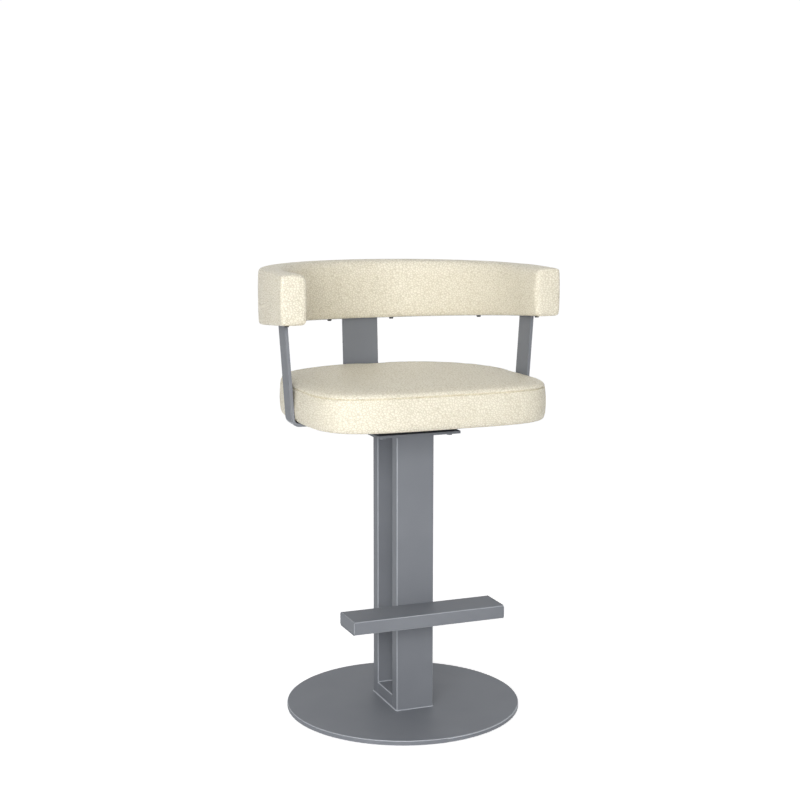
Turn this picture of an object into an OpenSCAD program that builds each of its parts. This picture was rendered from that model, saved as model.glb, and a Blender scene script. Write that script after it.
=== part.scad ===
// Swivel counter stool with a padded seat, a wrap-round padded backrest and a pedestal of square-cut
// tubes: two posts with an open window between them, the rail at its foot and a footrest bar.
// Millimetres, +Z up. The origin is on the floor under the swivel's axis; the sitter faces -Y.

/* [Base] */
// Diameter of the round base plate
base_d = 457.2; // [400:0.1:560]
// Thickness of the base plate
base_t = 9.5; // [8:0.1:16]
// Radius of the base plate's rounded rim
base_edge_r = 2; // [0.5:0.1:3.5]
// Thickness of the rubber sheet under the base plate
pad_t = 1.2; // [0.6:0.1:3]
// Distance from the rim of the base to the rim of the rubber sheet
pad_inset = 5; // [4:0.5:40]

/* [Column] */
// Height of the column, from the base plate to the top plate
column_h = 542; // [400:0.5:720]
// Depth of the column, front to back
column_d = 127; // [112:0.1:180]
// Width of the column's tubes, side to side
tube_w = 76.2; // [64:0.1:100]
// Thickness of the column's tubes, front to back
tube_t = 25.4; // [22:0.1:30]
// Wall of the steel tubes
tube_wall = 2; // [1.5:0.1:3]
// Radius of the tubes' outer corners
tube_corner_r = 2.5; // [1:0.1:4]

/* [Column fixing] */
// Diameter of the screws that hold the column to the base
base_screw_d = 8; // [6:0.5:10]
// Distance from a post to the nearer base screw's axis
base_screw_inset = 17; // [12:0.5:20]
// Thickness of the tapped block inside the bottom rail
anchor_t = 14; // [10:0.5:15]
// Gap between the tapped block and the posts and tube walls beside it
anchor_gap = 1; // [0.5:0.1:3]

/* [Footrest] */
// Length of the footrest bar, side to side
footrest_l = 304.8; // [220:0.1:420]
// Depth of the footrest bar, front to back
footrest_w = 76.2; // [50:0.1:100]
// Height of the footrest bar's section
footrest_h = 25.4; // [22:0.1:36]
// Height of the footrest's top above the base plate
footrest_rise = 211.7; // [120:0.1:340]
// Thickness of the plates that close the footrest's ends
footrest_cap_t = 2; // [1.5:0.1:4]
// Diameter of the bolts that hold the footrest to the front post
footrest_bolt_d = 8; // [6:0.5:10]
// Distance between the two footrest bolts
footrest_bolt_pitch = 38; // [26:0.5:44]

/* [Top plate] */
// Width of the square plate on top of the column
top_plate_w = 169; // [155:0.1:200]
// Thickness of the plate on top of the column
top_plate_t = 5; // [4:0.05:10]
// Diameter of the bolts through the top plate and the swivel
plate_bolt_d = 6; // [5:0.5:7]
// Distance between the bolts through the top plate
plate_bolt_pitch = 136; // [130:0.5:140]

/* [Swivel] */
// Width of the swivel's two square plates
swivel_w = 152.4; // [150:0.1:164]
// Thickness of the swivel's plates
swivel_t = 3; // [2:0.1:4]
// Height of the swivel over both plates
swivel_h = 21.4; // [18:0.1:26]
// Radius of the ring of balls
race_r = 50; // [44:0.5:56]
// Radial width of the two ball races
race_w = 16; // [12:0.5:20]
// Gap between the two ball races
race_gap = 2; // [1.8:0.1:3]
// Diameter of a ball
ball_d = 6.35; // [5:0.05:7.5]
// Number of balls
ball_count = 24; // [16:1:28]
// Thickness of the cage that spaces the balls
cage_t = 1.2; // [0.6:0.1:1.4]
// Diameter of the swivel's centre pin
pin_d = 16; // [12:0.5:18]
// Wall of the plain bush round the pin
bush_wall = 3; // [2:0.1:4]
// Wall of the hub that holds the bush
hub_wall = 4; // [3:0.1:5]
// Thickness of the flanges on the pin and the bush
flange_t = 2; // [1.5:0.1:2.5]
// Thickness of the washer over the bush
pin_washer_t = 2; // [1.5:0.1:3]
// Height of the nut on the pin
pin_nut_h = 6; // [5:0.1:8]

/* [Seat frame] */
// Width of the square plate between the swivel and the seat
frame_w = 165.1; // [150:0.1:190]
// Thickness of the plate between the swivel and the seat
frame_t = 6.35; // [5:0.05:8]
// Diameter of the bolts that hold the seat to the swivel
seat_bolt_d = 6; // [5:0.5:7]
// Distance between the bolts that hold the seat
seat_bolt_pitch = 120; // [108:0.5:126]

/* [Struts] */
// Width of a side strut's flat bar
strut_w = 44.4; // [25:0.1:50]
// Thickness of a side strut's flat bar
strut_t = 6.35; // [5:0.05:8]
// Amount by which the inside of a strut's bend is rounder than the cushion's bottom edge
strut_bend_ease = 2.4; // [0.4:0.1:2.4]
// Position of the struts, front to back
strut_y = -28.5; // [-50:0.5:10]
// Turn of the struts about the vertical
strut_twist = 3; // [0:0.1:8]
// Gap between the cushion's bulging side and a strut's nearest edge
strut_gap = 0.1; // [0.1:0.1:6]
// Distance that the tops of the struts and the back plate stand inside the middle of the backrest
upright_inset = 4; // [-4:0.1:10]

/* [Back plate] */
// Width of the back plate
back_plate_w = 75; // [50:0.1:110]
// Thickness of the back plate
back_plate_t = 6.35; // [5:0.05:8]
// Inside radius of the back plate's bend
back_bend_r = 6; // [3:0.1:8]
// Gap between the cushion's rear and the back plate, at its foot
back_gap = 17.3; // [6:0.1:20]

/* [Seat] */
// Width of the cushion at its fullest
seat_w = 468; // [440:1:480]
// Distance from the cushion's widest line to its front
seat_front = 216.5; // [195:0.5:235]
// Distance from the cushion's widest line to its rear
seat_rear = 221; // [200:0.5:235]
// Position of the cushion's widest line, front to back
seat_wide_y = -10; // [-20:0.5:20]
// Squareness of the seat's front corners, 2 being an ellipse
front_square = 4.7; // [3:0.1:7]
// Squareness of the seat's rear corners, 2 being an ellipse
rear_square = 2.5; // [2:0.05:4]
// Height of the cushion's side, from its bottom to the seam
boxing_h = 62.2; // [45:0.1:90]
// Rise of the crowned top over the seam
crown_h = 14; // [6:0.5:30]
// Amount by which the side is drawn in at the seam and at the bottom
side_tuck = 2.2; // [0.5:0.1:4]
// Radius of the cushion's bottom edge
seat_edge_r = 6; // [4:0.5:10]
// Radius over the seam, where the side turns into the crowned top
top_edge_r = 8; // [3:0.5:10]
// Thickness of the plywood seat board
board_t = 12.7; // [9:0.1:19]
// Foam left between the seat board and the cushion's side
board_inset = 18; // [14:0.5:30]
// Thickness of the dust cover under the seat board
dust_t = 0.8; // [0.5:0.1:1.5]

/* [Backrest] */
// Radius of the backrest's outside
band_r = 277.6; // [265:0.1:295]
// Thickness of the backrest's padding, inside to outside
band_t = 49.4; // [44:0.1:64]
// Position of the centre of the backrest's arc, front to back
band_y = -8.5; // [-30:0.5:20]
// Straight length of each arm, from the arc to its end
arm_l = 103.5; // [70:0.5:120]
// Height of the backrest's lowest point above the seat frame
band_rise = 158.4; // [120:0.1:220]
// Height of the backrest's pad at the rear
band_h = 122.6; // [90:0.1:160]
// Slope of the backrest's underside, rising to the front
bottom_slope = 4.36; // [0:0.02:6]
// Slope of the backrest's top, falling to the front
top_slope = 0.4; // [0:0.05:3]
// Radius of the pad's outer long edges
outer_edge_r = 6; // [2:0.5:10]
// Radius of the pad's inner edge along the top
top_inner_r = 12; // [4:0.5:14]
// Radius of the pad's inner edge along the bottom
low_inner_r = 8; // [2:0.5:10]
// Radius of the inner upright edge at each end of the pad
end_inner_r = 10; // [3:0.5:14]
// Radius of the other edges at each end of the pad
end_edge_r = 3.5; // [2:0.5:8]
// Crown of the pad's inner and outer faces
band_crown = 1.2; // [0:0.1:4]
// Width of the steel hoop under the backrest
hoop_w = 38.1; // [34:0.1:40]
// Thickness of the steel hoop
hoop_t = 4.8; // [4:0.1:7]
// Depth of the hoop's underside inside the pad
hoop_recess = 0.4; // [0:0.1:2]
// Thickness of the backrest's wooden core
core_t = 19; // [15:0.5:24]
// Foam left over the core's top
core_cover = 16; // [10:0.5:30]
// Foam left beyond the ends of the hoop and the core
end_cover = 14; // [12:0.5:24]
// Diameter of the backrest screws
back_screw_d = 5; // [4:0.5:6]
// Diameter of the backrest screws' heads
back_head_d = 9.5; // [8:0.5:11]
// Height of the backrest screws' heads
back_head_h = 3.6; // [2:0.1:4]
// Length of the backrest screws under the head
back_screw_l = 32; // [22:0.5:45]
// Angle of the rear backrest screws from the middle of the back
rear_screw_angle = 15.5; // [14:0.5:24]
// Angle of the side backrest screws from the middle of the back
side_screw_angle = 58.5; // [40:0.5:75]
// Distance from a strut's middle to the arm screw ahead of it
arm_screw_lead = 35; // [34:0.5:40]

/* [Hidden] */

// Colours
metal = "#84878b";
bright_steel = "#b4b6b8";
black_steel = "#2b2c2e";
nylon = "#d9d9d4";
rubber = "#1f1f20";
wood = "#c9a877";
fabric = "#efe8d4";
black_cloth = "#232323";

// Running fit and loose hole, both on a radius
run_fit = 0.05;
hole_fit = 0.3;
// Gap between hidden soft and hard pieces
soft_gap = 0.3;
// Overshoot of a cut past the surface it opens
cut = 1;
// Fineness of round parts
round_fn = 96;
small_fn = 48;

// Proportions of heads, nuts and sockets, as multiples of the thread's diameter
hex_ratio = 1.65;
head_ratio = 0.65;
nut_ratio = 0.8;
socket_ratio = 0.6;
// Thread left past a nut
thread_end = 1.5;
// Corner radii of the square plates, and smallest inner corner radius of a tube
plate_corner_r = 1.5;
swivel_corner_r = 4;
tube_inner_r = 0.5;

// Heights, from the floor up
base_top = pad_t + base_t;
column_top = base_top + column_h;
swivel_z = column_top + top_plate_t;
swivel_top = swivel_z + swivel_h;
ball_z = swivel_z + swivel_h / 2;
frame_top = swivel_top + frame_t;
board_z = frame_top + dust_t;
board_top = board_z + board_t;
cushion_z = board_z + soft_gap;

// Column and footrest
window_d = column_d - 2 * tube_t;
post_y = column_d / 2 - tube_t / 2;
footrest_z = base_top + footrest_rise - footrest_h / 2;
footrest_y = -column_d / 2 - footrest_w / 2;
base_screw_y = window_d / 2 - base_screw_inset;
anchor_z = base_top + tube_wall;
base_screw_l = base_t + tube_wall + anchor_t - thread_end;

// Swivel
race_in = race_r - race_w / 2;
race_out = race_r + race_w / 2;
groove_r = ball_d / 2 + run_fit;
bush_r = pin_d / 2 + bush_wall;
hub_r = bush_r + hub_wall;
flange_step = 1;
flange_r = hub_r - flange_step;
bush_z = swivel_z + swivel_t + soft_gap;
hub_z = bush_z + flange_t + soft_gap;
pin_washer_z = swivel_top + soft_gap;
pin_nut_z = pin_washer_z + pin_washer_t;
pin_top = pin_nut_z + pin_nut_h + thread_end;
hub_clearance = 7;
pin_clear_r = hub_r + hub_clearance;
cage_rim = 2;

// Seat and its struts
half_w = seat_w / 2;
cushion_rear_y = seat_wide_y + seat_rear;
seat_points = 56;
cover_hem = 4;
tee_barrel_r = seat_bolt_d / 2 + 1.2;
tee_flange_r = seat_bolt_d / 2 + 6.5;
tee_flange_t = 1.2;
tee_barrel_l = board_t - 3;

// Seam groove round the cushion, and the radius over it, kept under the crown's rise
seam_dip = 1.2;
seam_half = 2.5;
shoulder_r = min(top_edge_r, crown_h * 0.7);

// Backrest
band_mid = band_r - band_t / 2;
band_rear_y = band_y + band_r;
band_end_y = band_y - arm_l;
band_z = frame_top + band_rise;
hoop_arm = arm_l - end_cover;
band_arc_steps = 28;
band_arm_steps = 3;
pocket_arm = arm_l - end_cover + soft_gap;
pocket_arm_steps = 2;
band_corner_steps = 2;
band_end_angles = [88, 60, 30];
pocket_spare = 0.7;
// Taper of a screw's head, as a share of its diameter
pan_taper = 0.8;

// Strut lines: each runs down from the hoop and just clears the cushion's bulging side, whose curve is
// the share side_curve of the squared height from its fullest line
strut_foot_z = frame_top - strut_t / 2;
strut_bend_r = seat_edge_r + strut_bend_ease;
strut_reach = (strut_w * sin(strut_twist) + strut_t) / 2;
strut_top_x = band_mid - upright_inset;
strut_shift = strut_top_x - strut_reach - half_w - strut_gap;
side_curve = 4 * side_tuck / pow(boxing_h, 2);
fullest_z = cushion_z + boxing_h / 2;
strut_rise = hoop_plane(strut_y) - fullest_z;
strut_touch = sqrt(pow(strut_rise, 2) + strut_shift / side_curve) - strut_rise;
strut_lean = atan(2 * side_curve * strut_touch);
strut_foot_x = strut_top_x - (strut_rise + fullest_z - strut_foot_z) * tan(strut_lean);

// Back plate line, from its foot to the hoop
back_foot_z = frame_top - back_plate_t / 2;
back_foot_y = cushion_rear_y + back_gap + back_plate_t / 2;
back_top_y = band_y + band_mid - upright_inset;
back_lean = atan((back_top_y - back_foot_y) / (hoop_plane(back_top_y) - back_foot_z));

// Height of the pad's underside, of its top and of the hoop's underside, over a point front to back
function pad_bottom(y) = band_z + tan(bottom_slope) * (band_rear_y - y);
function pad_top(y) = band_z + band_h - tan(top_slope) * (band_rear_y - y);
function hoop_plane(y) = pad_bottom(y) + hoop_recess;

// Superellipse quarter-round power that keeps the sign
function signed_pow(v, p) = sign(v) * pow(abs(v), p);

// Plan outline of the seat, drawn in by a distance
function seat_outline(inset, count = seat_points) = [
    for (i = [0:count - 1])
        let (
            t = 360 * i / count,
            squareness = sin(t) < 0 ? front_square : rear_square,
            reach = sin(t) < 0 ? seat_front : seat_rear
        )
        [(half_w - inset) * signed_pow(cos(t), 2 / squareness),
         seat_wide_y + (reach - inset) * signed_pow(sin(t), 2 / squareness)]
];

// Rings of the cushion, bottom to top: [inset from the fullest outline, height over the bottom]
cushion_rows = concat(
    [for (a = [0, 30, 60, 90]) [side_tuck + seat_edge_r * (1 - sin(a)), seat_edge_r * (1 - cos(a))]],
    [for (s = [0.3, 0.5, 0.75]) [side_tuck * pow(2 * s - 1, 2), boxing_h * s]],
    [[side_tuck, boxing_h - seam_half], [side_tuck + seam_dip, boxing_h]],
    [for (a = [25, 55, 85]) [side_tuck + shoulder_r * (1 - cos(a)), boxing_h + shoulder_r * sin(a)]],
    [for (s = [0.15, 0.35, 0.6, 0.85])
        [side_tuck + shoulder_r + s * (seat_front - side_tuck - shoulder_r),
         boxing_h + shoulder_r + (crown_h - shoulder_r) * sin(90 * s)]]
);

// Plan of the backrest's middle line at a share of its arc or arm, moved outwards by an offset
function arc_point(angle, offset) =
    [(band_mid + offset) * sin(angle), band_y + (band_mid + offset) * cos(angle)];
function arm_point(side, run, offset) = [side * (band_mid + offset), band_y - run];

// Stations along the backrest, left end to right end: [side, run along the arm or -1, angle on the arc]
function stations(arm, steps) = concat(
    [for (i = [steps:-1:1]) [-1, arm * i / steps, 0]],
    [for (i = [0:band_arc_steps]) [0, -1, -90 + 180 * i / band_arc_steps]],
    [for (i = [1:steps]) [1, arm * i / steps, 0]]
);
function station_point(st, offset) =
    st[0] == 0 ? arc_point(st[2], offset) : arm_point(st[0], st[1], offset);

// Places of the backrest screws, in plan
screw_places = concat(
    [for (a = [-side_screw_angle, -rear_screw_angle, rear_screw_angle, side_screw_angle]) arc_point(a, 0)],
    [for (side = [-1, 1]) [side * band_mid, strut_y - arm_screw_lead]]
);

// Surface through rings of equal length, closed at both ends
function tube_faces(rings, count) = concat(
    [for (i = [0:rings - 2], j = [0:count - 1])
        let (a = i * count + j, b = i * count + (j + 1) % count, c = a + count, d = b + count)
        each [[a, c, b], [b, c, d]]],
    [[for (j = [0:count - 1]) j]],
    [[for (j = [count - 1:-1:0]) (rings - 1) * count + j]]
);

// Rounded section of the pad, drawn in at its two sides and over its height:
// [offset outwards, share of the height, rise over that share]
function pad_section(out_inset, in_inset) =
    let (
        outer = band_t / 2 - out_inset,
        inner = band_t / 2 - in_inset,
        ro = outer_edge_r,
        rt = top_inner_r,
        rl = low_inner_r,
        arc = [for (k = [0:band_corner_steps]) 90 * k / band_corner_steps]
    )
    concat(
        [for (a = arc) [outer - ro + ro * cos(a), 1, -(out_inset + ro - ro * sin(a))]],
        [[0, 1, band_crown / 2 - out_inset]],
        [for (a = arc) [-(inner - rt + rt * sin(a)), 1, -(out_inset + rt - rt * cos(a))]],
        [for (s = [0.75, 0.5, 0.25]) [-(inner + band_crown * 4 * s * (1 - s)), s, 0]],
        [for (a = arc) [-(inner - rl + rl * cos(a)), 0, out_inset + rl - rl * sin(a)]],
        [for (a = arc) [outer - ro + ro * sin(a), 0, out_inset + ro - ro * cos(a)]],
        [for (s = [0.25, 0.5, 0.75]) [outer + band_crown * 4 * s * (1 - s), s, 0]]
    );

// Point of the pad over a place in plan
function pad_point(xy, p) =
    let (lo = pad_bottom(xy[1]), hi = pad_top(xy[1]))
    [xy[0], xy[1], lo + (hi - lo) * p[1] + p[2]];

// Ring of the pad at a station, and ring of its rounded end at an angle round the end's edges
function pad_ring(st) = [for (p = pad_section(0, 0)) pad_point(station_point(st, p[0]), p)];
function end_ring(side, a) = [
    for (p = pad_section(end_edge_r * (1 - cos(a)), end_inner_r * (1 - cos(a))))
        pad_point(arm_point(side, arm_l - (p[0] < 0 ? end_inner_r : end_edge_r) * (1 - sin(a)), p[0]), p)
];

// Heights of the pockets' roofs over the hoop and over the core
function hoop_roof(y) = hoop_plane(y) + hoop_t + soft_gap;
function core_roof(y) = pad_top(y) - core_cover + soft_gap;

// Points along an arc about a centre
function arc_points(centre, r, a0, a1, steps = 12) =
    [for (i = [0:steps]) let (a = a0 + (a1 - a0) * i / steps) centre + r * [cos(a), sin(a)]];

module rounded_rect(w, t, r) {
    square([w - 2 * r, t], center = true);
    square([w, t - 2 * r], center = true);
    for (x = [-1, 1], y = [-1, 1])
        translate([x * (w / 2 - r), y * (t / 2 - r)]) circle(r = r, $fn = small_fn);
}

// Rectangular tube along Z
module rect_tube(w, t, length) {
    linear_extrude(height = length)
        difference() {
            rounded_rect(w, t, tube_corner_r);
            rounded_rect(w - 2 * tube_wall, t - 2 * tube_wall,
                         max(tube_corner_r - tube_wall, tube_inner_r));
        }
}

// Hexagon head or nut blank, flats facing along X
module hexagon(d, h) {
    cylinder(d = d * hex_ratio / cos(30), h = h, $fn = 6);
}

// Hexagon bolt, its head's top at the origin and its shaft along +Z
module hex_bolt(d, length) {
    translate([0, 0, -d * head_ratio]) hexagon(d, d * head_ratio);
    cylinder(d = d, h = length, $fn = small_fn);
}

// Hexagon nut over a bolt of diameter d
module hex_nut(d) {
    difference() {
        hexagon(d, d * nut_ratio);
        translate([0, 0, -cut]) cylinder(r = d / 2 + run_fit, h = d * nut_ratio + 2 * cut, $fn = small_fn);
    }
}

module at_corners(pitch) {
    for (x = [-1, 1], y = [-1, 1])
        translate([x * pitch / 2, y * pitch / 2, 0]) children();
}

// Base

// Countersunk screw from under the base, at both places
module at_base_screws() {
    for (y = [-1, 1])
        translate([0, y * base_screw_y, pad_t]) children();
}

module countersink(d, spare) {
    cylinder(r1 = d + spare, r2 = d / 2 + spare, h = d / 2, $fn = small_fn);
}

module base_plate() {
    color(metal)
        difference() {
            translate([0, 0, pad_t])
                rotate_extrude($fn = round_fn) {
                    square([base_d / 2 - base_edge_r, base_t]);
                    translate([0, base_edge_r]) square([base_d / 2, base_t - 2 * base_edge_r]);
                    for (z = [base_edge_r, base_t - base_edge_r])
                        translate([base_d / 2 - base_edge_r, z])
                            intersection() {
                                circle(r = base_edge_r, $fn = small_fn);
                                translate([-base_edge_r / 2, -base_edge_r]) square(2 * base_edge_r);
                            }
                }
            at_base_screws() {
                countersink(base_screw_d, run_fit);
                translate([0, 0, -cut])
                    cylinder(r = base_screw_d / 2 + hole_fit, h = base_t + 2 * cut, $fn = small_fn);
            }
        }
}

module base_pad() {
    color(rubber) cylinder(r = base_d / 2 - pad_inset, h = pad_t, $fn = round_fn);
}

module base_screws() {
    color(bright_steel)
        at_base_screws()
            difference() {
                union() {
                    countersink(base_screw_d, 0);
                    cylinder(d = base_screw_d, h = base_screw_l, $fn = small_fn);
                }
                translate([0, 0, -cut])
                    cylinder(d = base_screw_d * socket_ratio, h = cut + base_screw_d / 2, $fn = 6);
            }
}

module anchor_block() {
    w = tube_w - 2 * tube_wall - 2 * anchor_gap;
    d = window_d - 2 * anchor_gap;
    color(bright_steel)
        difference() {
            translate([-w / 2, -d / 2, anchor_z]) cube([w, d, anchor_t]);
            at_base_screws() cylinder(r = base_screw_d / 2 + run_fit, h = base_t + tube_t, $fn = small_fn);
        }
}

// Column

module front_post() {
    color(metal)
        difference() {
            translate([0, -post_y, base_top]) rect_tube(tube_w, tube_t, column_h);
            footrest_holes(column_d / 2 - tube_t - cut, tube_t + 2 * cut);
        }
}

module rear_post() {
    color(metal) translate([0, post_y, base_top]) rect_tube(tube_w, tube_t, column_h);
}

// Tube across the foot of the window, from post to post
module bottom_rail() {
    color(metal)
        difference() {
            translate([0, -window_d / 2, base_top + tube_t / 2])
                rotate([-90, 0, 0]) rect_tube(tube_w, tube_t, window_d);
            at_base_screws()
                cylinder(r = base_screw_d / 2 + hole_fit, h = base_t + 2 * tube_wall, $fn = small_fn);
        }
}

module top_plate() {
    color(metal)
        difference() {
            translate([0, 0, column_top])
                linear_extrude(height = top_plate_t) rounded_rect(top_plate_w, top_plate_w, plate_corner_r);
            translate([0, 0, column_top - cut]) {
                cylinder(r = hub_r + cut, h = top_plate_t + 2 * cut, $fn = small_fn);
                at_corners(plate_bolt_pitch)
                    cylinder(r = plate_bolt_d / 2 + hole_fit, h = top_plate_t + 2 * cut, $fn = small_fn);
            }
        }
}

// Footrest

// Both bolt axes, turned to run along -Y from the column's middle
module at_footrest_bolts() {
    for (x = [-1, 1])
        translate([x * footrest_bolt_pitch / 2, 0, footrest_z]) rotate([90, 0, 0]) children();
}

module footrest_holes(start, length) {
    at_footrest_bolts()
        translate([0, 0, start])
            cylinder(r = footrest_bolt_d / 2 + hole_fit, h = length, $fn = small_fn);
}

module footrest_bar() {
    color(metal)
        difference() {
            translate([-footrest_l / 2, footrest_y, footrest_z])
                rotate([90, 0, 90]) rect_tube(footrest_w, footrest_h, footrest_l);
            footrest_holes(column_d / 2 - cut, tube_wall + 2 * cut);
        }
}

module footrest_end_plates() {
    w = footrest_w - 2 * tube_wall;
    h = footrest_h - 2 * tube_wall;
    color(metal)
        for (x = [-footrest_l / 2, footrest_l / 2 - footrest_cap_t])
            translate([x, footrest_y, footrest_z])
                rotate([90, 0, 90])
                    linear_extrude(height = footrest_cap_t)
                        rounded_rect(w, h, max(tube_corner_r - tube_wall, tube_inner_r));
}

module footrest_bolts() {
    length = tube_t + tube_wall + footrest_bolt_d * nut_ratio + thread_end;
    color(bright_steel)
        at_footrest_bolts()
            translate([0, 0, column_d / 2 - tube_t]) rotate([0, 0, 30]) hex_bolt(footrest_bolt_d, length);
}

module footrest_nuts() {
    color(bright_steel)
        at_footrest_bolts()
            translate([0, 0, column_d / 2 + tube_wall]) rotate([0, 0, 30]) hex_nut(footrest_bolt_d);
}

// Swivel

module plate_bolts() {
    length = top_plate_t + swivel_t + plate_bolt_d * nut_ratio + thread_end;
    color(metal)
        translate([0, 0, column_top]) at_corners(plate_bolt_pitch) hex_bolt(plate_bolt_d, length);
}

module plate_nuts() {
    color(bright_steel)
        translate([0, 0, swivel_z + swivel_t]) at_corners(plate_bolt_pitch) hex_nut(plate_bolt_d);
}

// Square swivel plate with bolt holes, standing on z = 0
module square_plate(pitch, bolt_d, centre_r) {
    linear_extrude(height = swivel_t)
        difference() {
            rounded_rect(swivel_w, swivel_w, swivel_corner_r);
            circle(r = centre_r, $fn = small_fn);
            for (x = [-1, 1], y = [-1, 1])
                translate([x * pitch / 2, y * pitch / 2]) circle(r = bolt_d / 2 + hole_fit, $fn = small_fn);
        }
}

// Groove that the balls run in
module ball_groove() {
    translate([0, 0, ball_z])
        rotate_extrude($fn = round_fn) translate([race_r, 0]) circle(r = groove_r, $fn = small_fn);
}

module ring(inner, outer, z0, z1) {
    translate([0, 0, z0])
        linear_extrude(height = z1 - z0)
            difference() {
                circle(r = outer, $fn = round_fn);
                circle(r = inner, $fn = round_fn);
            }
}

module swivel_lower_plate() {
    color(black_steel)
        difference() {
            union() {
                translate([0, 0, swivel_z])
                    square_plate(plate_bolt_pitch, plate_bolt_d, pin_d / 2 + run_fit);
                ring(race_in, race_out, swivel_z + swivel_t, ball_z - race_gap / 2);
            }
            ball_groove();
        }
}

module swivel_pin() {
    color(bright_steel) {
        translate([0, 0, swivel_z - flange_t]) cylinder(r = flange_r, h = flange_t, $fn = small_fn);
        translate([0, 0, swivel_z]) cylinder(d = pin_d, h = pin_top - swivel_z, $fn = small_fn);
    }
}

module pin_washer() {
    color(bright_steel) ring(pin_d / 2 + run_fit, flange_r, pin_washer_z, pin_nut_z);
}

module pin_nut() {
    color(bright_steel)
        translate([0, 0, pin_nut_z])
            difference() {
                cylinder(r = flange_r - flange_step, h = pin_nut_h, $fn = 6);
                translate([0, 0, -cut])
                    cylinder(r = pin_d / 2 + run_fit, h = pin_nut_h + 2 * cut, $fn = small_fn);
            }
}

module at_balls() {
    for (i = [0:ball_count - 1])
        rotate([0, 0, 360 * i / ball_count]) translate([race_r, 0, ball_z]) children();
}

module ball_cage() {
    color(nylon)
        difference() {
            ring(race_in + cage_rim, race_out - cage_rim, ball_z - cage_t / 2, ball_z + cage_t / 2);
            at_balls() cylinder(r = ball_d / 2 + run_fit, h = 2 * cage_t, center = true, $fn = small_fn);
        }
}

module swivel_balls() {
    color(bright_steel) at_balls() sphere(d = ball_d, $fn = small_fn);
}

module swivel_upper_plate() {
    color(black_steel)
        difference() {
            union() {
                translate([0, 0, swivel_top - swivel_t])
                    square_plate(seat_bolt_pitch, seat_bolt_d, bush_r + run_fit);
                ring(race_in, race_out, ball_z + race_gap / 2, swivel_top - swivel_t);
                ring(bush_r + run_fit, hub_r, hub_z, swivel_top - swivel_t);
            }
            ball_groove();
        }
}

module swivel_bush() {
    color(nylon) {
        ring(pin_d / 2 + run_fit, flange_r, bush_z, bush_z + flange_t);
        ring(pin_d / 2 + run_fit, bush_r, bush_z + flange_t, swivel_top);
    }
}

// Seat frame

module seat_frame_plate() {
    color(metal)
        translate([0, 0, swivel_top])
            linear_extrude(height = frame_t)
                difference() {
                    rounded_rect(frame_w, frame_w, plate_corner_r);
                    circle(r = pin_clear_r, $fn = small_fn);
                    for (x = [-1, 1], y = [-1, 1])
                        translate([x * seat_bolt_pitch / 2, y * seat_bolt_pitch / 2])
                            circle(r = seat_bolt_d / 2 + hole_fit, $fn = small_fn);
                }
}

module seat_bolts() {
    length = swivel_t + frame_t + dust_t + board_t - 2 * thread_end;
    color(black_steel)
        translate([0, 0, swivel_top - swivel_t]) at_corners(seat_bolt_pitch) hex_bolt(seat_bolt_d, length);
}

module seat_tee_nuts() {
    color(bright_steel)
        at_corners(seat_bolt_pitch)
            difference() {
                union() {
                    translate([0, 0, board_top - tee_flange_t])
                        cylinder(r = tee_flange_r, h = tee_flange_t, $fn = small_fn);
                    translate([0, 0, board_top - tee_barrel_l])
                        cylinder(r = tee_barrel_r, h = tee_barrel_l, $fn = small_fn);
                }
                translate([0, 0, board_z])
                    cylinder(r = seat_bolt_d / 2 + run_fit, h = board_t + cut, $fn = small_fn);
            }
}

// Flat bar bent once: a leg along -X that ends at the frame plate, and an upright that leans outwards
// The bar's middle line at the foot passes through the origin
module bent_bar(w, t, bend_r, lean, leg, upright) {
    middle_r = bend_r + t / 2;
    back_off = middle_r * tan((90 - lean) / 2);
    centre = [-back_off, middle_r];
    top = upright * [sin(lean), cos(lean)];
    side = t / 2 * [cos(lean), -sin(lean)];
    rotate([90, 0, 0])
        linear_extrude(height = w, center = true)
            polygon(concat(
                [[-back_off - leg, t / 2], [-back_off - leg, -t / 2]],
                arc_points(centre, bend_r + t, -90, -lean),
                [top + side, top - side],
                arc_points(centre, bend_r, -lean, -90)
            ));
}

// Everything below the hoop's underside, through the whole width
module under_hoop() {
    far = band_r + hoop_w;
    rotate([90, 0, 90])
        linear_extrude(height = 2 * far, center = true)
            polygon([[-far, 0], [-far, hoop_plane(-far)], [far, hoop_plane(far)], [far, 0]]);
}

module strut(side) {
    upright = hoop_plane(strut_y) - strut_foot_z + strut_w;
    color(metal)
        difference() {
            intersection() {
                translate([side * strut_foot_x, strut_y, strut_foot_z])
                    mirror([side < 0 ? 1 : 0, 0, 0])
                        rotate([0, 0, strut_twist])
                            bent_bar(strut_w, strut_t, strut_bend_r, strut_lean, strut_foot_x, upright);
                under_hoop();
            }
            frame_space();
        }
}

// The frame plate's own block, which the legs stop at
module frame_space() {
    translate([-frame_w / 2, -frame_w / 2, swivel_top - strut_t]) cube([frame_w, frame_w, 3 * frame_t]);
}

module left_strut() {
    strut(-1);
}

module right_strut() {
    strut(1);
}

module back_plate() {
    upright = hoop_plane(back_top_y) - back_foot_z + 2 * back_plate_t;
    color(metal)
        difference() {
            intersection() {
                translate([0, back_foot_y, back_foot_z])
                    rotate([0, 0, 90])
                        bent_bar(back_plate_w, back_plate_t, back_bend_r, back_lean, back_foot_y, upright);
                under_hoop();
            }
            frame_space();
        }
}

// Seat

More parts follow.
